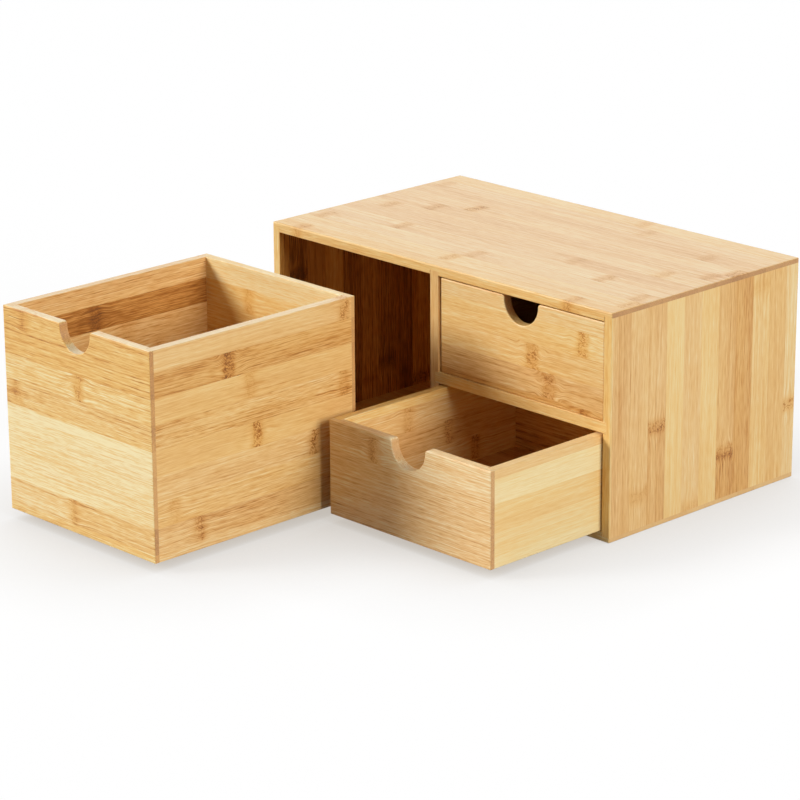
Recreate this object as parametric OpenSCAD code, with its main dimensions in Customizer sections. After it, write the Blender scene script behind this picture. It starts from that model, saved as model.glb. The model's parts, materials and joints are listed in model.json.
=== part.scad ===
// Desktop mini drawers: a bamboo case with one tall bay on the left and two low bays
// on the right. Each bay holds a sliding drawer with a half-round finger notch.
// +X is to the right seen from the front, -Y is the front, +Z is up.
// The origin is the centre of the case's underside.

/* [Case] */
// Width of the case over its sides
case_w = 330; // [240:1:420]
// Depth of the case, front edge to rear edge
case_d = 191; // [150:1:260]
// Height of the case, desk to top face
case_h = 160; // [120:1:220]
// Thickness of the top, bottom and side boards, and of the drawers' walls
wall = 7; // [6:0.5:9]
// Thickness of the divider and the shelf
inner_wall = 8; // [6:0.5:10]
// Thickness of the back panel
back_thick = 5; // [3:0.5:6]
// Distance from the case's rear edge to the back panel
back_inset = 3; // [2:0.5:5]

/* [Joints between boards] */
// Thickness of the lip that a rabbeted board leaves over its neighbour's end
lip = 3.5; // [2.5:0.5:4]
// Depth of the housings that hold the divider, the shelf and the back panel
housing = 3; // [2:0.5:4]
// Depth of the grooves that hold a drawer's bottom
groove = 3; // [2:0.5:3.5]

/* [Drawers] */
// Depth of every drawer, front face to rear face
drawer_d = 180.5; // [140:0.5:240]
// Gap on each side of a drawer
side_gap = 1; // [0.5:0.1:1.5]
// Gap above a drawer
top_gap = 1.2; // [0.8:0.1:2]
// Distance of a closed drawer's face behind the case's front edge
recess = 1.5; // [0:0.5:2]
// Thickness of a drawer's bottom
floor_thick = 4; // [3:0.5:5]
// Height of a drawer's bottom above the lower edge of its walls
floor_rise = 4; // [3:0.5:6]
// Distance that the tall drawer is drawn out from closed
tall_out = 252; // [0:1:320]
// Distance that the upper drawer is drawn out from closed
upper_out = 0; // [0:1:185]
// Distance that the lower drawer is drawn out from closed
lower_out = 106; // [0:1:185]

/* [Finger notches] */
// Width of the notch between its straight sides
notch_w = 31; // [24:0.5:40]
// Radius of the shoulders where the notch meets the top edge
shoulder = 2.5; // [2:0.5:5]

/* [Edges] */
// Radius of the eased outer edges
ease = 1; // [0.4:0.1:1.5]
// Radius of the eased inner edges
fine_ease = 0.5; // [0.2:0.1:0.8]

/* [Colours] */
// Colour of the case's top and bottom boards
pale_bamboo = "BurlyWood"; // [BurlyWood, Wheat, Tan]
// Colour of the upright boards and the drawers' fronts
honey_bamboo = "SandyBrown"; // [SandyBrown, BurlyWood, Goldenrod]
// Colour of the inner boards, the drawers' backs and their bottoms
brown_bamboo = "Peru"; // [Peru, SandyBrown, Chocolate]

/* [Hidden] */
$fn = 48;

// How far a cutting shape runs past the wood it cuts
past = 1;
// Outer corner of the case
case_x = -case_w / 2;
case_y = -case_d / 2;
// Front face of the back panel, and the depth of the boards that end at it
back_y = case_d / 2 - back_inset - back_thick;
inner_d = back_y - case_y;
// Clear width and height of the bays
bay_w = (case_w - 2 * wall - inner_wall) / 2;
tall_bay_h = case_h - 2 * wall;
low_bay_h = (tall_bay_h - inner_wall) / 2;
// Where the shelf's underside and each bay's left face lie
shelf_z = wall + low_bay_h;
left_bay_x = case_x + wall;
right_bay_x = inner_wall / 2;
// Outer size of the drawers
drawer_w = bay_w - 2 * side_gap;
tall_h = tall_bay_h - top_gap;
low_h = low_bay_h - top_gap;
// Where a closed drawer's front face lies
closed_y = case_y + recess;

// ---------------------------------------------------------------- boards

// Sliver that eases a square edge running up +Z from the origin. The wood fills
// the quarter on the low side of X and Y before it is turned by the picks.
module edge_sliver(pick_a, pick_b, length, r) {
    turn = pick_a == 1 ? (pick_b == 1 ? 0 : 270) : (pick_b == 1 ? 90 : 180);
    rotate([0, 0, turn])
        translate([-r, -r, -past])
            linear_extrude(length + 2 * past)
                difference() {
                    square(r + past);
                    circle(r);
                }
}

// A board from the origin to size, with chosen long edges eased. An edge is
// [a, b, radius]: a and b are 0 or 1 for the low or high side of its two other axes.
module board(size, along_x = [], along_y = [], along_z = []) {
    difference() {
        cube(size);
        for (edge = along_x)
            translate([0, edge[0] * size.y, edge[1] * size.z])
                rotate([90, 0, 90])
                    edge_sliver(edge[0], edge[1], size.x, edge[2]);
        for (edge = along_y)
            translate([edge[0] * size.x, size.y, edge[1] * size.z])
                rotate([90, 0, 0])
                    edge_sliver(edge[0], edge[1], size.y, edge[2]);
        for (edge = along_z)
            translate([edge[0] * size.x, edge[1] * size.y, 0])
                edge_sliver(edge[0], edge[1], size.z, edge[2]);
    }
}

// ---------------------------------------------------------------- case

// The case's top board, with its outer face up and its corner at the origin.
// A rabbet at each end leaves a lip over the side boards, a housing takes the
// divider, and a groove takes the back panel. Turned over, it is the bottom board.
module end_board() {
    difference() {
        board(
            [case_w, case_d, wall],
            along_x = [[0, 1, ease], [1, 1, ease], [0, 0, fine_ease], [1, 0, fine_ease]],
            along_y = [[0, 1, ease], [1, 1, ease]],
            along_z = [[0, 0, ease], [0, 1, ease], [1, 0, ease], [1, 1, ease]]
        );
        for (x = [-past, case_w - wall])
            translate([x, -past, -past])
                cube([wall + past, case_d + 2 * past, wall - lip + past]);
        translate([(case_w - inner_wall) / 2, -past, -past])
            cube([inner_wall, inner_d + past, housing + past]);
        translate([0, inner_d, -past])
            cube([case_w, back_thick, housing + past]);
    }
}

// A side board with its outer face towards -X and its lower front corner at the origin
module side_board() {
    height = case_h - 2 * lip;
    difference() {
        board(
            [wall, case_d, height],
            along_z = [[0, 0, ease], [0, 1, ease], [1, 0, fine_ease], [1, 1, fine_ease]]
        );
        translate([wall - housing, inner_d, -past])
            cube([housing + past, back_thick, height + 2 * past]);
    }
}

module top_panel() {
    color(pale_bamboo)
        translate([case_x, case_y, case_h - wall])
            end_board();
}

module bottom_panel() {
    color(pale_bamboo)
        mirror([0, 0, 1])
            translate([case_x, case_y, -wall])
                end_board();
}

module left_side() {
    color(honey_bamboo)
        translate([case_x, case_y, lip])
            side_board();
}

// The right side board also has the housing that takes the shelf's end
module right_side() {
    color(honey_bamboo)
        difference() {
            mirror([1, 0, 0])
                translate([case_x, case_y, lip])
                    side_board();
            translate([case_w / 2 - wall - past, case_y - past, shelf_z])
                cube([housing + past, inner_d + past, inner_wall]);
        }
}

// The divider stands in the housings of the top and bottom boards
module divider() {
    color(brown_bamboo)
        difference() {
            translate([-inner_wall / 2, case_y, wall - housing])
                board(
                    [inner_wall, inner_d, tall_bay_h + 2 * housing],
                    along_z = [[0, 0, fine_ease], [1, 0, fine_ease]]
                );
            translate([inner_wall / 2 - housing, case_y - past, shelf_z])
                cube([housing + past, inner_d + 2 * past, inner_wall]);
        }
}

// The shelf between the two low bays, let into the divider and the right side
module shelf() {
    color(brown_bamboo)
        translate([right_bay_x - housing, case_y, shelf_z])
            board(
                [bay_w + 2 * housing, inner_d, inner_wall],
                along_x = [[0, 0, fine_ease], [0, 1, fine_ease]]
            );
}

// The back panel is held in a groove all round
module back_panel() {
    color(brown_bamboo)
        translate([case_x + wall - housing, back_y, wall - housing])
            cube([case_w - 2 * wall + 2 * housing, back_thick, tall_bay_h + 2 * housing]);
}

// ---------------------------------------------------------------- drawers
// A drawer's own corner is its lower left front corner.

// Outline of the finger notch, centred on X, with the board's top edge at Y = 0:
// a half circle below two round shoulders
module notch_outline() {
    half = notch_w / 2;
    translate([0, -shoulder])
        circle(half);
    difference() {
        translate([-half - shoulder, -shoulder])
            square([notch_w + 2 * shoulder, shoulder + past]);
        for (side = [-1, 1])
            translate([side * (half + shoulder), -shoulder])
                circle(shoulder);
    }
}

// A front or back wall with its outer face at Y = 0. Rabbets in its ends leave a lip
// over the ends of the side walls, and a groove takes the bottom.
module end_wall(height) {
    difference() {
        board(
            [drawer_w, wall, height],
            along_x = [[0, 0, ease], [0, 1, ease], [1, 0, fine_ease], [1, 1, fine_ease]],
            along_y = [[0, 0, ease], [0, 1, ease], [1, 0, ease], [1, 1, ease]],
            along_z = [[0, 0, ease], [1, 0, ease]]
        );
        for (x = [-past, drawer_w - wall])
            translate([x, lip, -past])
                cube([wall + past, wall - lip + past, height + 2 * past]);
        translate([0, wall - groove, floor_rise])
            cube([drawer_w, groove + past, floor_thick]);
    }
}

// Ring that eases the notch's edge at the face Y = 0, bent round an axis along Y. The
// wood lies outside the radius, as round the half circle, or inside it, as at a shoulder.
module edge_ring(radius, wood_outside, from, to, r) {
    centre = wood_outside ? radius + r : radius - r;
    rotate([-90, 0, 0])
        rotate([0, 0, from])
            rotate_extrude(angle = to - from)
                difference() {
                    translate([wood_outside ? radius - past : radius - r, -past])
                        square(r + past);
                    translate([centre, r])
                        circle(r);
                }
}

// Easing of the notch's whole edge at the face Y = 0
module notch_easing(r) {
    half = notch_w / 2;
    translate([0, 0, -shoulder]) {
        edge_ring(half, true, 0, 180, r);
        translate([-half - shoulder, 0, 0])
            edge_ring(shoulder, false, -90, 0, r);
        translate([half + shoulder, 0, 0])
            edge_ring(shoulder, false, 180, 270, r);
    }
}

module front_wall(height) {
    difference() {
        end_wall(height);
        translate([drawer_w / 2, 0, height]) {
            translate([0, wall + past, 0])
                rotate([90, 0, 0])
                    linear_extrude(wall + 2 * past)
                        notch_outline();
            notch_easing(ease);
            translate([0, wall, 0])
                mirror([0, 1, 0])
                    notch_easing(fine_ease);
        }
    }
}

module back_wall(height) {
    translate([0, drawer_d, 0])
        mirror([0, 1, 0])
            end_wall(height);
}

module left_wall(height) {
    length = drawer_d - 2 * lip;
    translate([0, lip, 0])
        difference() {
            board(
                [wall, length, height],
                along_y = [[0, 0, ease], [0, 1, ease], [1, 0, fine_ease], [1, 1, fine_ease]]
            );
            translate([wall - groove, -past, floor_rise])
                cube([groove + past, length + 2 * past, floor_thick]);
        }
}

module right_wall(height) {
    translate([drawer_w, 0, 0])
        mirror([1, 0, 0])
            left_wall(height);
}

module bottom_sheet() {
    edge = wall - groove;
    translate([edge, edge, floor_rise])
        cube([drawer_w - 2 * edge, drawer_d - 2 * edge, floor_thick]);
}

// Each drawer's place: in the middle of its bay's width, on the board below it, and
// drawn out along -Y from where it is closed
module in_tall_bay() {
    translate([left_bay_x + side_gap, closed_y - tall_out, wall])
        children();
}

module in_upper_bay() {
    translate([right_bay_x + side_gap, closed_y - upper_out, shelf_z + inner_wall])
        children();
}

module in_lower_bay() {
    translate([right_bay_x + side_gap, closed_y - lower_out, wall])
        children();
}

module tall_front() { color(honey_bamboo) in_tall_bay() front_wall(tall_h); }
module tall_back() { color(brown_bamboo) in_tall_bay() back_wall(tall_h); }
module tall_left() { color(honey_bamboo) in_tall_bay() left_wall(tall_h); }
module tall_right() { color(honey_bamboo) in_tall_bay() right_wall(tall_h); }
module tall_bottom() { color(brown_bamboo) in_tall_bay() bottom_sheet(); }

module upper_front() { color(honey_bamboo) in_upper_bay() front_wall(low_h); }
module upper_back() { color(brown_bamboo) in_upper_bay() back_wall(low_h); }
module upper_left() { color(honey_bamboo) in_upper_bay() left_wall(low_h); }
module upper_right() { color(honey_bamboo) in_upper_bay() right_wall(low_h); }
module upper_bottom() { color(brown_bamboo) in_upper_bay() bottom_sheet(); }

module lower_front() { color(honey_bamboo) in_lower_bay() front_wall(low_h); }
module lower_back() { color(brown_bamboo) in_lower_bay() back_wall(low_h); }
module lower_left() { color(honey_bamboo) in_lower_bay() left_wall(low_h); }
module lower_right() { color(honey_bamboo) in_lower_bay() right_wall(low_h); }
module lower_bottom() { color(brown_bamboo) in_lower_bay() bottom_sheet(); }

top_panel();
bottom_panel();
left_side();
right_side();
divider();
shelf();
back_panel();
tall_front();
tall_back();
tall_left();
tall_right();
tall_bottom();
upper_front();
upper_back();
upper_left();
upper_right();
upper_bottom();
lower_front();
lower_back();
lower_left();
lower_right();
lower_bottom();
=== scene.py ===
"""Bamboo mini drawers: the finish of every board, the white studio and the camera.

The case and its three drawers are edge-glued from bamboo strips of one width. Each board is
listed below strip by strip, and one shared bamboo pattern draws the strips in millimetres,
measured along and across the grain from the lower front left corner of the board's body.
"""
import json
import math
from collections import namedtuple

import bpy
import numpy as np
from mathutils import Matrix, Vector


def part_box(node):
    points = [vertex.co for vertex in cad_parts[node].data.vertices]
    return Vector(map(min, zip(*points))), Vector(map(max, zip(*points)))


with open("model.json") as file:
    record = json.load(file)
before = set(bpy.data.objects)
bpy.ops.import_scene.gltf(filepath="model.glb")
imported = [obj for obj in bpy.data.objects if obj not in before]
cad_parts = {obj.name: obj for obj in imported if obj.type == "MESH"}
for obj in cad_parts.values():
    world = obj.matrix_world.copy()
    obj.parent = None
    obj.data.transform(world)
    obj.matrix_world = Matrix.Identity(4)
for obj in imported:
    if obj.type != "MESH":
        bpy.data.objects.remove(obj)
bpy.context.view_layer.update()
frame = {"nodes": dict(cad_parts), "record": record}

MM = 0.001                      # one millimetre, in metres

# ---------------------------------------------------------------- bamboo boards

STRIP_WIDTH = 17.7              # every strip's width, mm
LONGEST = 400.0                 # the longest distance that a strip's data can hold, mm

# A strip's shade: how dark it is and how rosy, each from 0 to 1.
SHADES = {
    "cream": (0.08, 0.15),
    "pale": (0.19, 0.20),
    "straw": (0.28, 0.22),
    "blond": (0.33, 0.60),
    "almond": (0.35, 0.95),
    "flax": (0.37, 0.30),
    "honey": (0.42, 0.10),
    "peach": (0.43, 1.00),
    "wheat": (0.44, 0.42),
    "biscuit": (0.45, 0.72),
    "gold": (0.50, 0.18),
    "sand": (0.51, 0.53),
    "tan": (0.56, 0.80),
    "amber": (0.60, 0.00),
    "caramel": (0.62, 0.65),
    "toast": (0.69, 0.62),
    "brown": (0.80, 0.75),
    "umber": (0.92, 0.70),
}

# shade:   its name in SHADES
# knuckle: where the strip's first growth ring lies along the grain, mm
# mark:    how strongly the ring shows, 0 to 1
# step:    how much darker the strip is past the ring than before it, -0.5 to 0.5
# figure:  how strongly its fibres show, 0 to 2
# swirl:   how far its fibres bulge round the ring, 0 to 1
# gap:     distance to the strip's next ring, mm
NO_RING = -60.0                 # the knuckle of a strip that has no ring
ONE_RING = 399.0                # the gap of a strip with one ring: longer than every board, mm
Strip = namedtuple(
    "Strip", "shade knuckle mark step figure swirl gap", defaults=(NO_RING, 0.6, 0.0, 1.0, 0.12, ONE_RING)
)

# grain:   the axis that the board's grain runs along
# across:  the axis that its strips lie side by side along
# first:   how wide the lowest strip is, mm
# seed:    a number that varies the fibres
# strips:  the strips, from the lowest place to the highest
# figure:  how strongly the fibres show, on all its strips
# rim:     how much darker the long edges are, or paler if it is below 0
# inside:  painted shade: how much darker the face is that looks into the case, and which face that is:
#          above 0 the one that looks the way of grain x across, and below 0 the other
# ends:    how much darker the end grain is than usual, or paler if it is below 0
Board = namedtuple(
    "Board", "grain across first seed strips figure rim inside ends", defaults=(1.0, 0.0, 0.0, 0.0)
)

ALONG_X_UP_Z = ("x", "z")
ALONG_Y_UP_Z = ("y", "z")
ALONG_Z_IN_Y = ("z", "y")
ALONG_X_IN_Y = ("x", "y")


def spare_strips(seed, count, shades, span):
    """Strips for a board that lies within the case or a drawer: shades and rings drawn from a seeded
    generator.

    The first ring of each strip lies between 0 and span, in mm.
    """
    pick = np.random.default_rng(seed)
    return [
        Strip(
            shade=shades[pick.integers(len(shades))],
            knuckle=float(pick.uniform(0, span)),
            gap=float(pick.uniform(190, 270)),
            mark=float(pick.uniform(0.3, 0.8)),
            step=float(pick.uniform(-0.15, 0.15)),
        )
        for _ in range(count)
    ]


BOARDS = {
    "top_panel": Board(*ALONG_X_IN_Y, first=13.7, seed=1, strips=[
        Strip("wheat", 25, 0.8, step=0.06, gap=265),
        Strip("blond", 158, 0.8, gap=167),
        Strip("almond", 165, 0.7, step=0.05, gap=153),
        Strip("almond", 74, 0.75, step=0.08, gap=196),
        Strip("peach", 226, 0.5, step=0.08),
        Strip("almond", 25, 0.7, step=0.08, gap=267),
        Strip("peach", 54, 0.7, step=0.04, gap=264),
        Strip("almond", 79, 0.95, step=0.05, gap=247),
        Strip("peach", 286, 0.55, step=0.04),
        Strip("almond", 12, 0.55, gap=201),
        Strip("blond", 196, 0.6),
    ], figure=0.95, rim=0.04, inside=-0.15, ends=0.05),
    "bottom_panel": Board(*ALONG_X_IN_Y, first=8.0, seed=2, strips=[
        Strip("straw", 60, 0.4, gap=255),
        *spare_strips(2, 11, ["cream", "pale"], 200),
    ], rim=0.04, inside=0.38, ends=-0.22),
    "left_side": Board(*ALONG_Z_IN_Y, first=9.2, seed=3, strips=[
        Strip("honey"),
        Strip("tan", 118, 0.6),
        Strip("biscuit", figure=0.6),
        Strip("straw", 143, 0.5),
        Strip("tan"),
        Strip("biscuit", 20, 0.35, step=0.1),
        Strip("tan", 32, 0.5, step=0.1),
        Strip("toast"),
        Strip("honey", 12, 0.7),
        Strip("biscuit"),
        Strip("tan", 88, 0.5),
        Strip("straw"),
    ], inside=-0.40),
    "right_side": Board(*ALONG_Z_IN_Y, first=1.5, seed=4, strips=[
        Strip("flax"),
        Strip("tan"),
        Strip("biscuit", 27, 0.6),
        Strip("tan", 72, 0.9, step=-0.12),
        Strip("flax", figure=0.7),
        Strip("biscuit", 5, 0.5, step=-0.10),
        Strip("flax", figure=0.8),
        Strip("caramel", 36, 0.7, step=-0.20, swirl=0.3),
        Strip("toast"),
        Strip("wheat", 146, 0.4, step=0.1),
        Strip("sand"),
        Strip("blond", 55, 1.0),
    ], figure=0.95, rim=0.10, inside=0.25),
    "divider": Board(*ALONG_Z_IN_Y, first=6.0, seed=5, strips=[
        Strip("tan"),
        # its inner strips are dark brown and umber: painted shade that darkens the tall bay
        *spare_strips(5, 11, ["brown", "umber"], 150),
    ], rim=-0.02),
    "shelf": Board(*ALONG_X_IN_Y, first=10.0, seed=6, strips=[
        Strip("gold", 66, 0.8),
        *spare_strips(6, 11, ["tan", "toast"], 300),
    ], rim=-0.05),
    "back_panel": Board(*ALONG_X_UP_Z, first=5.0, seed=7, strips=[
        *spare_strips(7, 10, ["honey", "tan", "biscuit"], 240),
    ], inside=0.34),
    "tall_front": Board(*ALONG_X_UP_Z, first=6.0, seed=11, strips=[
        Strip("honey"),
        Strip("wheat", 68, 0.7, step=0.2),
        Strip("pale"),
        Strip("pale"),
        Strip("cream"),
        Strip("gold", 12, 0.6, step=-0.08, figure=1.1),
        Strip("honey", 78, 0.9, step=0.05, figure=1.1),
        Strip("amber", figure=0.9),
        Strip("amber", 23, 0.6, step=-0.08, figure=0.9),
    ], figure=1.65, rim=-0.48, ends=0.05),
    "tall_right": Board(*ALONG_Y_UP_Z, first=6.0, seed=12, strips=[
        Strip("biscuit"),
        Strip("tan", 38, 0.7, step=0.1),
        Strip("sand", 18, 0.5),
        Strip("biscuit", 142, 1.0, step=0.05, figure=0.9),
        Strip("sand", 91, 0.95, figure=0.6),
        Strip("caramel", 169, 0.6, step=0.1, figure=1.1),
        Strip("sand", 85, 0.6, figure=0.6),
        Strip("toast", 67, 0.85, figure=0.8, swirl=0.25),
        Strip("biscuit", 171, 0.9, figure=0.6),
    ], figure=1.3, rim=-0.26),
    "tall_left": Board(*ALONG_Y_UP_Z, first=6.0, seed=13, strips=[
        Strip("honey"),
        Strip("gold", 110, 0.6),
        Strip("honey"),
        Strip("straw", 40, 0.5),
        Strip("gold"),
        Strip("biscuit", 130, 0.6),
        Strip("tan", 100, 0.5),
        Strip("umber", 73, 0.5, figure=0.6, swirl=0.25),
        Strip("tan"),
    ], figure=1.3, rim=-0.22),
    "tall_back": Board(*ALONG_X_UP_Z, first=6.0, seed=14, strips=[
        Strip("gold"),
        Strip("honey", 120, 0.6),
        Strip("tan"),
        Strip("honey"),
        Strip("straw", 30, 0.5),
        Strip("gold"),
        Strip("gold", 98, 0.5),
        Strip("honey", 52, 0.7),
        Strip("pale"),
    ], figure=1.1, rim=0.05),
    "tall_bottom": Board(*ALONG_X_IN_Y, first=12.0, seed=15, strips=[
        *spare_strips(15, 11, ["biscuit", "honey", "tan"], 150),
    ]),
    "upper_front": Board(*ALONG_X_UP_Z, first=4.0, seed=21, strips=[
        Strip("toast", 134, 0.85),
        Strip("tan", 102, 0.75, swirl=0.5),
        Strip("wheat", 87, 0.95, swirl=0.35),
        Strip("flax", 133, 1.0, step=-0.1, swirl=0.2),
        Strip("blond"),
    ], figure=1.2, rim=0.04),
    "upper_right": Board(*ALONG_Y_UP_Z, first=4.0, seed=22, strips=[
        *spare_strips(22, 5, ["honey", "straw", "gold"], 180),
    ]),
    "upper_left": Board(*ALONG_Y_UP_Z, first=4.0, seed=23, strips=[
        *spare_strips(23, 5, ["honey", "biscuit", "gold"], 180),
    ]),
    "upper_back": Board(*ALONG_X_UP_Z, first=4.0, seed=24, strips=[
        *spare_strips(24, 5, ["honey", "straw", "tan"], 150),
    ]),
    "upper_bottom": Board(*ALONG_X_IN_Y, first=12.0, seed=25, strips=[
        *spare_strips(25, 11, ["biscuit", "honey", "tan"], 150),
    ]),
    "lower_front": Board(*ALONG_X_UP_Z, first=11.5, seed=31, strips=[
        Strip("peach"),
        Strip("peach"),
        Strip("peach"),
        Strip("almond", 44, 0.85, step=-0.3, swirl=0.3),
        Strip("almond", 54, 0.0, step=-0.25),
    ], figure=1.55),
    "lower_right": Board(*ALONG_Y_UP_Z, first=8.5, seed=32, strips=[
        Strip("pale"),
        Strip("straw"),
        Strip("flax", 150, 0.6),
        Strip("pale"),
        Strip("biscuit", 128, 0.6),
    ], figure=0.6, rim=-0.08),
    "lower_left": Board(*ALONG_Y_UP_Z, first=8.5, seed=33, strips=[
        Strip("honey"),
        Strip("biscuit", 133, 0.9),
        Strip("tan", 107, 0.8),
        Strip("biscuit", 67, 0.7),
        Strip("honey"),
    ], figure=1.1, rim=0.05),
    "lower_back": Board(*ALONG_X_UP_Z, first=8.5, seed=34, strips=[
        # its strips are mostly dark toast and brown: painted shade in the back of the lower drawer
        Strip("toast", 23, 0.9),
        Strip("brown"),
        Strip("toast", 96, 0.6),
        Strip("toast"),
        Strip("honey"),
    ]),
    "lower_bottom": Board(*ALONG_X_IN_Y, first=12.0, seed=35, strips=[
        *spare_strips(35, 11, ["tan", "toast"], 150),
    ]),
}

# The colour scale of clear-lacquered bamboo, from the palest to the darkest fibre, as two
# rows of sRGB colours: golden, and rosy. A shade of 0 is the first and SCALE_END the last.
GOLDEN_SCALE = [
    (243, 225, 175),
    (237, 211, 150),
    (235, 196, 122),
    (228, 178, 96),
    (216, 156, 72),
    (184, 117, 44),
    (126, 72, 24),
]
ROSY_SCALE = [
    (242, 222, 180),
    (233, 205, 155),
    (229, 188, 129),
    (217, 169, 107),
    (197, 140, 74),
    (150, 91, 30),
    (102, 58, 20),
]
SCALE_END = 1.2
END_GRAIN_DUST = (208, 173, 130)    # the dull colour of sanded end grain
RELIEF_DEPTH = 0.05 * MM            # how deep the fibres are felt in the lacquer
EDGE_ON, SQUARE_ON = 0.6, 0.9       # cosines at which a face starts to look one way, and fully does
STRIP_STRIDE = 57.31                # how far on in the noise each next strip starts, mm
BOARD_STRIDE = 213.7                # how far on in it each next seed starts, mm


def linear(colour):
    """Scene-linear colour of an sRGB colour given in steps of 255."""
    c = np.array(colour) / 255.0
    return np.where(c <= 0.04045, c / 12.92, ((c + 0.055) / 1.055) ** 2.4).tolist()


class Wiring:
    """Adds nodes to one node tree and links them: an input is a number, a colour or a socket."""

    def __init__(self, tree):
        self.tree = tree

    def add(self, kind, inputs=(), **settings):
        """A new node of a kind, with its settings and with its inputs filled or linked."""
        node = self.tree.nodes.new(kind)
        for name, value in settings.items():
            setattr(node, name, value)
        for key, value in dict(inputs).items():
            if isinstance(value, bpy.types.NodeSocket):
                self.tree.links.new(value, node.inputs[key])
            else:
                node.inputs[key].default_value = value
        return node

    def math(self, operation, *values):
        """One step of arithmetic, by the Math node's name for it."""
        return self.add("ShaderNodeMath", enumerate(values), operation=operation).outputs[0]

    def total(self, *values):
        """The sum of several values."""
        result = values[0]
        for value in values[1:]:
            result = self.math("ADD", result, value)
        return result

    def product(self, *values):
        """Several values multiplied."""
        result = values[0]
        for value in values[1:]:
            result = self.math("MULTIPLY", result, value)
        return result

    def mix(self, a, b, share):
        """Colour a turning into colour b as share goes from 0 to 1."""
        inputs = {"Factor": share, "A": a, "B": b}
        return self.add("ShaderNodeMix", inputs, data_type="RGBA").outputs["Result"]

    def fade(self, value, start, end, low=0.0, high=1.0):
        """Smooth change from low to high while the value goes from start to end."""
        inputs = {"Value": value, "From Min": start, "From Max": end, "To Min": low, "To Max": high}
        return self.add("ShaderNodeMapRange", inputs, interpolation_type="SMOOTHSTEP").outputs[0]

    def vector(self, x, y, z):
        """Vector of three values."""
        return self.add("ShaderNodeCombineXYZ", enumerate((x, y, z))).outputs[0]

    def split(self, vector):
        """The three values of a vector or a colour."""
        return self.add("ShaderNodeSeparateXYZ", {0: vector}).outputs

    def shift(self, a, b):
        """The sum of two vectors."""
        return self.add("ShaderNodeVectorMath", enumerate((a, b)), operation="ADD").outputs[0]

    def grade(self, vector, sizes, detail=0.0, roughness=0.5):
        """Smooth noise from -0.5 to 0.5 whose features have the given sizes along each axis, mm."""
        scales = [1.0 / size for size in sizes]
        place = self.add("ShaderNodeVectorMath", {0: vector, 1: scales}, operation="MULTIPLY")
        inputs = {"Vector": place.outputs[0], "Scale": 1.0, "Detail": detail, "Roughness": roughness}
        noise = self.add("ShaderNodeTexNoise", inputs, noise_dimensions="3D")
        return self.total(noise.outputs[0], -0.5)

    def shader_for(self, share, first, second):
        """The first shader node where share is 0 and the second where it is 1."""
        inputs = {0: share, 1: first.outputs[0], 2: second.outputs[0]}
        return self.add("ShaderNodeMixShader", inputs).outputs[0]

    def ramp(self, value, stops, interpolation):
        """Colour and alpha of a ramp through (position, colour) stops."""
        node = self.add("ShaderNodeValToRGB", {0: value})
        scale = node.color_ramp
        scale.interpolation = interpolation
        scale.elements.remove(scale.elements[1])
        for number, (position, colour) in enumerate(stops):
            stop = scale.elements[0] if number == 0 else scale.elements.new(position)
            stop.position = position
            stop.color = colour
        return node.outputs


def new_group(name, inputs, outputs):
    """Empty node group with named (name, kind) inputs and outputs."""
    group = bpy.data.node_groups.new(name, "ShaderNodeTree")
    for label, kind in inputs:
        group.interface.new_socket(label, in_out="INPUT", socket_type="NodeSocket" + kind)
    for label, kind in outputs:
        group.interface.new_socket(label, in_out="OUTPUT", socket_type="NodeSocket" + kind)
    return group


def make_strip_finder():
    """Group that numbers the strips across a board and measures a point's place in its strip.

    The strip's number is the whole part of (across - first) / width + 1, and the glue
    line is nearest where the rest of that division is near 0 or 1. Ramp is where the
    strip's data lie on a colour ramp, Seam is the distance to the nearest glue line and
    Middle the distance past the strip's middle, both in mm.
    """
    group = new_group(
        "strip_finder",
        [("Place", "Vector"), ("First", "Float"), ("Count", "Float")],
        [("Number", "Float"), ("Ramp", "Float"), ("Seam", "Float"), ("Middle", "Float")],
    )
    wire = Wiring(group)
    given = wire.add("NodeGroupInput").outputs
    across = wire.split(given["Place"])[1]
    past_first = wire.math("SUBTRACT", across, given["First"])
    strips = wire.total(wire.math("DIVIDE", past_first, STRIP_WIDTH), 1.0)
    last = wire.total(given["Count"], -1.0)
    number = wire.math("MINIMUM", wire.math("MAXIMUM", wire.math("FLOOR", strips), 0.0), last)
    middle = wire.product(wire.total(wire.math("FRACT", strips), -0.5), STRIP_WIDTH)
    seam = wire.math("SUBTRACT", STRIP_WIDTH / 2, wire.math("ABSOLUTE", middle))
    wire.add("NodeGroupOutput", {
        "Number": number,
        "Ramp": wire.math("DIVIDE", wire.total(number, 0.5), given["Count"]),
        "Seam": seam,
        "Middle": middle,
    })
    return group


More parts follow.
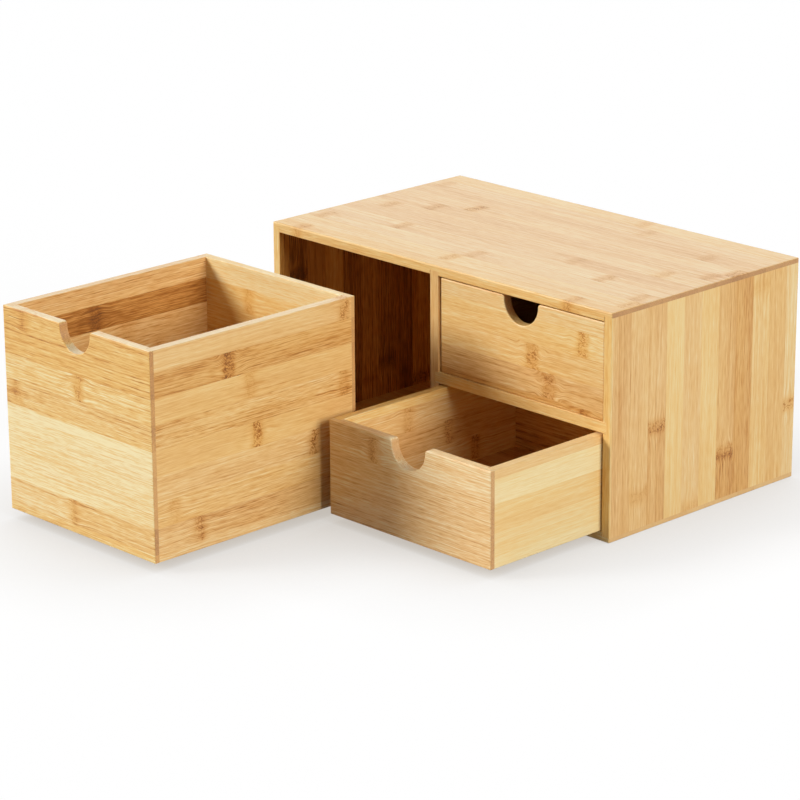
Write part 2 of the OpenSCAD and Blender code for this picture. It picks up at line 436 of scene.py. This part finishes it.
def make_bamboo_figure():
    """Group that draws bamboo: colour, roughness and the height of the fibres.

    Place is (along the grain, across it, through the board) in mm and Facing is the
    surface's direction on the same axes. The fibres are noise stretched along the grain
    and bent by a slower noise. A growth ring is a short band across the strip, full of
    small dark curls: the fibres swerve and eddy beside it and bulge round it. End grain
    is darker, duller and nearly plain.
    """
    group = new_group(
        "bamboo_figure",
        [("Place", "Vector"), ("Facing", "Vector"), ("Number", "Float"), ("Seam", "Float"),
         ("Middle", "Float"), ("Shade", "Color"), ("Step", "Float"), ("Rings", "Color"),
         ("Figure", "Float"), ("Rim", "Float"), ("Inside", "Float"), ("Ends", "Float"),
         ("Seed", "Float")],
        [("Color", "Color"), ("Roughness", "Float"), ("Height", "Float")],
    )
    wire = Wiring(group)
    given = wire.add("NodeGroupInput").outputs
    along = wire.split(given["Place"])[0]
    dark, rosy, swirl = wire.split(given["Shade"])
    ring_place, ring_gap, ring_mark = wire.split(given["Rings"])
    face_along, face_across, face_through = wire.split(given["Facing"])
    end_grain = wire.fade(wire.math("ABSOLUTE", face_along), EDGE_ON, SQUARE_ON)
    rim = wire.fade(wire.math("ABSOLUTE", face_across), EDGE_ON, SQUARE_ON)

    # every strip starts at its own place in the noise, a stride on along a slanting line
    next_strip = wire.product(given["Number"], STRIP_STRIDE)
    own = wire.total(next_strip, wire.product(given["Seed"], BOARD_STRIDE))
    offset = wire.vector(wire.product(own, 3.1), own, wire.product(own, 0.37))
    here = wire.shift(given["Place"], offset)

    # distance along the grain from the nearest growth ring, with a wavy edge
    first_ring = wire.product(ring_place, LONGEST)
    gap = wire.product(ring_gap, LONGEST)
    half_gap = wire.product(gap, 0.5)
    beyond = wire.total(wire.math("SUBTRACT", along, first_ring), half_gap)
    from_ring = wire.math("SUBTRACT", wire.math("FLOORED_MODULO", beyond, gap), half_gap)
    edge = wire.total(from_ring, wire.product(wire.grade(here, (400, 6, 6), 1.0), 4.0))
    near = wire.math("ABSOLUTE", edge)
    width = wire.total(1.0, wire.product(swirl, 2.2))
    core = wire.product(wire.fade(wire.math("DIVIDE", near, width), 1.6, 4.4, 1.0, 0.0), ring_mark)
    band = wire.product(wire.fade(near, 2.0, 9.0, 1.0, 0.0), ring_mark)
    halo = wire.product(wire.fade(near, 2.0, 30.0, 1.0, 0.0), ring_mark)

    # fibres swerve slowly, swerve and eddy more next to a ring, and bulge round it
    slow = wire.product(wire.grade(here, (120, 30, 30), 1.0), wire.total(2.4, wire.product(halo, 4.0)))
    quick = wire.product(wire.grade(here, (22, 6, 6)), wire.total(0.3, wire.product(halo, 3.0)))
    bulge = wire.product(given["Middle"], wire.fade(near, 0.0, 16.0, -1.0, 0.0), swirl)
    eddies = wire.product(wire.grade(here, (9, 5, 5)), halo, swirl, 16.0)
    bent = wire.shift(here, wire.vector(0.0, wire.total(slow, quick, bulge, eddies), 0.0))
    broad = wire.grade(bent, (120, 2.2, 2.2), 1.0)
    long_fibres = wire.grade(bent, (150, 1.2, 1.2))
    fine = wire.grade(bent, (45, 0.65, 0.65), 1.0)
    flecks = wire.grade(bent, (9, 0.7, 0.7), 1.0)
    bundles = wire.fade(wire.grade(bent, (55, 0.85, 0.85)), 0.08, 0.20)
    dashes = wire.fade(wire.grade(bent, (8, 0.45, 0.45)), 0.10, 0.22)
    drift = wire.grade(here, (110, 16, 16), 1.0)

    # a growth ring: a soft band with a core of small dark curls, denser in places; the curls
    # are the lines where a small noise is near 0
    swirls = wire.math("ABSOLUTE", wire.grade(here, (2.4, 2.2, 2.2), 1.0))
    curls = wire.fade(swirls, 0.02, 0.11, 1.0, 0.0)
    clusters = wire.fade(wire.grade(here, (5.0, 4.0, 4.0), 1.0), -0.22, 0.10, 0.15, 1.0)
    ring = wire.total(
        wire.product(band, 0.17),
        wire.product(core, ring_mark, clusters, curls, 0.38),
        wire.product(halo, 0.04),
    )

    # past a ring the strip is darker or lighter by its step, back to even half way to the next
    side = wire.fade(edge, -3.0, 3.0, -0.5, 0.5)
    evening = wire.math("SUBTRACT", 1.0, wire.math("DIVIDE", wire.math("ABSOLUTE", from_ring), half_gap))
    step = wire.product(side, evening, given["Step"])

    # fibres are stronger on dark strips and near a ring, weaker in the ring and on end grain
    strength = wire.product(
        given["Figure"],
        wire.total(0.9, wire.product(dark, 0.2)),
        wire.total(1.0, wire.product(halo, 0.4)),
        wire.total(1.0, wire.product(band, -0.7)),
        wire.total(1.0, wire.product(end_grain, -0.65)),
    )
    fibres = wire.total(
        -0.015,
        wire.product(broad, 0.24),
        wire.product(long_fibres, 0.22),
        wire.product(fine, 0.54),
        wire.product(flecks, 0.56),
        wire.product(bundles, 0.04),
        wire.product(dashes, 0.05),
    )
    glue = wire.fade(given["Seam"], 0.06, 0.30, 0.05, 0.0)
    shade = wire.total(
        dark,
        wire.product(fibres, strength),
        wire.product(drift, 0.22),
        wire.product(ring, wire.total(1.0, wire.product(end_grain, -0.7))),
        step,
        glue,
        wire.product(end_grain, wire.total(0.66, wire.product(dark, -0.62), given["Ends"])),
        wire.product(rim, given["Rim"]),
        # painted shade: the face that looks into the case is darker, as if the case shaded it
        wire.math("MAXIMUM", wire.product(face_through, given["Inside"]), 0.0),
    )
    rosiness = wire.total(
        rosy,
        wire.product(end_grain, 0.4),
        wire.product(drift, 0.5),
        wire.product(rim, given["Rim"], -1.5),
    )
    on_scale = wire.math("DIVIDE", shade, SCALE_END)
    golden = wire.ramp(on_scale, colour_stops(GOLDEN_SCALE), "LINEAR")["Color"]
    rosy_colour = wire.ramp(on_scale, colour_stops(ROSY_SCALE), "LINEAR")["Color"]
    dust = (*linear(END_GRAIN_DUST), 1.0)
    wire.add("NodeGroupOutput", {
        "Color": wire.mix(wire.mix(golden, rosy_colour, rosiness), dust, wire.product(end_grain, 0.3)),
        "Roughness": wire.total(0.42, wire.product(fine, 0.16), wire.product(ring, 0.25)),
        "Height": wire.total(fine, wire.product(dashes, -0.4), wire.product(ring, -0.8)),
    })
    return group


def colour_stops(scale):
    """Evenly spaced ramp stops for a row of sRGB colours."""
    return [(n / (len(scale) - 1), (*linear(colour), 1.0)) for n, colour in enumerate(scale)]


def turn_to_grain(board):
    """Rotation that takes (x, y, z) to (along the grain, across it, through the board)."""
    axes = {"x": Vector((1, 0, 0)), "y": Vector((0, 1, 0)), "z": Vector((0, 0, 1))}
    along = axes[board.grain]
    across = axes[board.across]
    return Matrix((along, across, along.cross(across)))


def strip_stops(strips, row):
    """Constant ramp stops, one for each strip: row gives a strip's four numbers."""
    return [(n / len(strips), row(strip)) for n, strip in enumerate(strips)]


def shade_row(strip):
    """A strip's darkness, rosiness, swirl and step, each from 0 to 1."""
    return (*SHADES[strip.shade], strip.swirl, strip.step + 0.5)


def ring_row(strip):
    """A strip's first ring, the gap between its rings, their strength and half its figure."""
    mark = 0.0 if strip.knuckle == NO_RING else strip.mark
    return ((strip.knuckle % strip.gap) / LONGEST, strip.gap / LONGEST, mark, strip.figure / 2)


def bamboo(name, board, corner, finder, figure):
    """Material of one board: its place is measured from its body's lower front left corner."""
    material = bpy.data.materials.new("bamboo_" + name)
    material.use_nodes = True
    tree = material.node_tree
    wire = Wiring(tree)
    surface = tree.nodes["Principled BSDF"]
    turn = turn_to_grain(board)
    start = turn @ (-corner / MM)
    coordinates = wire.add("ShaderNodeTexCoord")
    place = wire.add("ShaderNodeMapping", {
        "Vector": coordinates.outputs["Object"],
        "Location": start,
        "Rotation": turn.to_euler(),
        "Scale": (1 / MM, 1 / MM, 1 / MM),
    })
    facing = wire.add(
        "ShaderNodeMapping",
        {"Vector": coordinates.outputs["Normal"], "Rotation": turn.to_euler()},
        vector_type="VECTOR",
    )
    strips = wire.add("ShaderNodeGroup", {
        "Place": place.outputs[0],
        "First": board.first,
        "Count": len(board.strips),
    }, node_tree=finder).outputs
    shades = wire.ramp(strips["Ramp"], strip_stops(board.strips, shade_row), "CONSTANT")
    rings = wire.ramp(strips["Ramp"], strip_stops(board.strips, ring_row), "CONSTANT")
    pattern = wire.add("ShaderNodeGroup", {
        "Place": place.outputs[0],
        "Facing": facing.outputs[0],
        "Number": strips["Number"],
        "Seam": strips["Seam"],
        "Middle": strips["Middle"],
        "Shade": shades["Color"],
        "Step": wire.total(shades["Alpha"], -0.5),
        "Rings": rings["Color"],
        "Figure": wire.product(rings["Alpha"], 2.0 * board.figure),
        "Rim": board.rim,
        "Inside": board.inside,
        "Ends": board.ends,
        "Seed": board.seed,
    }, node_tree=figure).outputs
    relief = wire.add("ShaderNodeBump", {
        "Height": pattern["Height"],
        "Strength": 0.5,
        "Distance": RELIEF_DEPTH,
    })
    tree.links.new(pattern["Color"], surface.inputs["Base Color"])
    tree.links.new(pattern["Roughness"], surface.inputs["Roughness"])
    tree.links.new(relief.outputs[0], surface.inputs["Normal"])
    surface.inputs["IOR"].default_value = 1.5
    return material


def body_corner(names):
    """Lower front left corner of a body, in metres."""
    corners = np.array([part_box(name)[0] for name in names])
    return Vector(corners.min(axis=0))


strip_finder = make_strip_finder()
bamboo_figure = make_bamboo_figure()
for body_nodes in frame["record"]["behaviour"]["bodies"].values():
    corner = body_corner(body_nodes)
    for name in body_nodes:
        frame["nodes"][name].material_slots[0].material = bamboo(
            name, BOARDS[name], corner, strip_finder, bamboo_figure
        )

# ---------------------------------------------------------------- studio

FLOOR_SIZE = 14.0               # side of the white floor, m
FLOOR_WHITE = 0.11              # how white the seen floor is without its glow
CONTACT_SHADE = (0.37, 0.41, 0.46)  # red, green and blue glow lost right under the boards
CONTACT_REACH = 0.12            # how far from the boards the glow is weaker, m
FLOOR_BOUNCE = 0.50             # how white the floor is as it lights the boards
SKY = 0.06                      # strength of the sky's light on the boards

# softboxes: where each stands, its strength, its width in degrees and its colour
SOFTBOXES = {
    "front_left_softbox": ((-0.53, -0.73, 0.46), 3.10, 20, (1.0, 1.0, 1.0)),
    "right_softbox": ((0.93, 0.08, 0.36), 2.42, 30, (1.0, 1.0, 1.0)),
    "back_softbox": ((-0.50, 0.62, 0.60), 0.55, 60, (0.92, 0.92, 1.0)),
}


def grey(level):
    """Scene-linear grey with the same level of red, green and blue."""
    return (level, level, level, 1.0)


def seen_directly(wire):
    """1 for rays from the camera, through glass or off gloss, and 0 for light on the boards."""
    path = wire.add("ShaderNodeLightPath").outputs
    mirrored = wire.math("MAXIMUM", path["Is Glossy Ray"], path["Is Transmission Ray"])
    return wire.math("MAXIMUM", path["Is Camera Ray"], mirrored)


def open_floor_light():
    """How brightly a white floor is lit where nothing stands on it: 1 renders as white.

    It is the sum of each softbox's strength times how steeply it shines, over pi, and the sky.
    """
    lamps = [strength * Vector(towards).normalized().z for towards, strength, _, _ in SOFTBOXES.values()]
    return sum(lamps) / math.pi + SKY


def white_floor():
    """Floor material: it glows just enough to look white where no shadow falls."""
    material = bpy.data.materials.new("floor_white")
    material.use_nodes = True
    tree = material.node_tree
    tree.nodes.clear()
    wire = Wiring(tree)
    bounce = wire.add("ShaderNodeBsdfDiffuse", {"Color": grey(FLOOR_BOUNCE)})
    shaded = wire.add("ShaderNodeBsdfDiffuse", {"Color": grey(FLOOR_WHITE)})
    openness = wire.add("ShaderNodeAmbientOcclusion", {"Distance": CONTACT_REACH}, samples=16)
    whole = 1.0 - FLOOR_WHITE * open_floor_light()
    under = (*[whole - lost for lost in CONTACT_SHADE], 1.0)
    colour = wire.ramp(openness.outputs["AO"], [(0.0, under), (1.0, grey(whole))], "LINEAR")["Color"]
    glow = wire.add("ShaderNodeEmission", {"Color": colour, "Strength": 1.0})
    seen = wire.add("ShaderNodeAddShader", {0: shaded.outputs[0], 1: glow.outputs[0]})
    surface = wire.shader_for(seen_directly(wire), bounce, seen)
    wire.add("ShaderNodeOutputMaterial", {"Surface": surface})
    return material


def floor_sheet():
    """The floor: a flat square grid, (u, v) -> (size (u - 1/2), size (v - 1/2), 0)."""
    cells = 8
    u, v = np.meshgrid(np.linspace(0, 1, cells + 1), np.linspace(0, 1, cells + 1), indexing="ij")
    points = np.stack([FLOOR_SIZE * (u - 0.5), FLOOR_SIZE * (v - 0.5), np.zeros_like(u)], axis=-1)
    corner = np.arange((cells + 1) ** 2).reshape(cells + 1, cells + 1)
    faces = np.stack([corner[:-1, :-1], corner[1:, :-1], corner[1:, 1:], corner[:-1, 1:]], axis=-1)
    mesh = bpy.data.meshes.new("floor")
    mesh.from_pydata(points.reshape(-1, 3).tolist(), [], faces.reshape(-1, 4).tolist())
    mesh.materials.append(white_floor())
    floor = bpy.data.objects.new("floor", mesh)
    bpy.context.scene.collection.objects.link(floor)
    return floor


def add_softbox(name, towards, strength, width, colour):
    """A far softbox: light from one direction, spread over its width in degrees."""
    data = bpy.data.lights.new(name, "SUN")
    data.energy = strength
    data.angle = math.radians(width)
    data.color = colour
    lamp = bpy.data.objects.new(name, data)
    lamp.rotation_euler = Vector(towards).to_track_quat("Z", "Y").to_euler()
    bpy.context.scene.collection.objects.link(lamp)


def white_sky():
    """World: a low even light on the boards, and plain white where it is seen."""
    world = bpy.data.worlds.new("studio")
    bpy.context.scene.world = world
    world.use_nodes = True
    tree = world.node_tree
    tree.nodes.clear()
    wire = Wiring(tree)
    light = wire.add("ShaderNodeBackground", {"Color": grey(1.0), "Strength": SKY})
    white = wire.add("ShaderNodeBackground", {"Color": grey(1.0), "Strength": 1.0})
    surface = wire.shader_for(seen_directly(wire), light, white)
    wire.add("ShaderNodeOutputWorld", {"Surface": surface})


floor_sheet()
white_sky()
for softbox_name, softbox in SOFTBOXES.items():
    add_softbox(softbox_name, *softbox)

# ---------------------------------------------------------------- camera

CAMERA_PLACE = Vector((1.5384, -1.6160, 0.7699))
CAMERA_TARGET = Vector((0.0210, -0.1490, 0.0800))
CAMERA_ROLL = -0.34             # degrees
CAMERA_LENS = 147.42            # focal length, mm
CAMERA_SENSOR = 36.0            # width, mm


def add_camera():
    """Camera at the photograph's viewing angle, turned a little about its own axis."""
    data = bpy.data.cameras.new("camera")
    data.lens = CAMERA_LENS
    data.sensor_width = CAMERA_SENSOR
    camera = bpy.data.objects.new("camera", data)
    level = (CAMERA_TARGET - CAMERA_PLACE).to_track_quat("-Z", "Y").to_matrix().to_4x4()
    roll = Matrix.Rotation(math.radians(CAMERA_ROLL), 4, "Z")
    camera.matrix_world = Matrix.Translation(CAMERA_PLACE) @ level @ roll
    bpy.context.scene.collection.objects.link(camera)
    bpy.context.scene.camera = camera


add_camera()
bpy.context.scene.view_settings.view_transform = "Standard"
